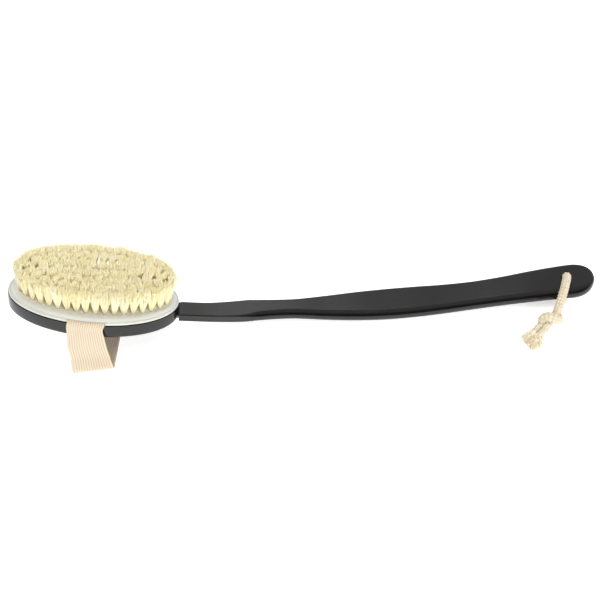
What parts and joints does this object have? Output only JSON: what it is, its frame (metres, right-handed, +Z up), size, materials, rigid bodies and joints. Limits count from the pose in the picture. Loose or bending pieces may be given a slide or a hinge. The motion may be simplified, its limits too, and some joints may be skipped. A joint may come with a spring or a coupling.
{
  "type": "long-handled body brush",
  "caption": "Dry body brush: oval wooden head full of bristle tufts, woven hand strap under it, and a bowed wooden handle that slides off, with a knotted hanging cord at its tip.",
  "frame": {"origin": "on the table, under the middle of the brush's bounding box without its hanging cord", "axes": "+X from the head towards the tip of the handle, +Z up, bristles up; the head's own axes are tilted 13.8 degrees about +Y so that the head leans on its strap"},
  "size_m": [0.4334, 0.101, 0.0785],
  "materials": {
    "lacquered_wood": "satin black lacquer",
    "white_plate": "semi-gloss white",
    "bristle": "natural bristle, cream",
    "webbing": "ribbed unbleached cotton webbing",
    "cord_cotton": "twisted unbleached cotton",
    "staple_steel": "galvanised wire"
  },
  "bodies": {
    "head": {"head_board": "lacquered_wood", "bristle_plate": "white_plate", "bristle_row_1": "bristle", "bristle_row_2": "bristle", "bristle_row_3": "bristle", "bristle_row_middle": "bristle", "strap_staple_front_1": "staple_steel", "strap_staple_front_2": "staple_steel", "strap_staple_rear_1": "staple_steel", "strap_staple_rear_2": "staple_steel", "hand_strap": "webbing"},
    "handle": {"handle": "lacquered_wood", "cord_over_edge": "cord_cotton", "cord_under_edge": "cord_cotton", "cord_knot": "cord_cotton", "cord_tail_left": "cord_cotton", "cord_tail_right": "cord_cotton"}
  },
  "joints": [
    {"name": "handle_slide", "type": "slide", "parent": "head", "child": "handle", "axis": [0.9711, 0, -0.2385], "range_m": [0, 0.055]}
  ]
}
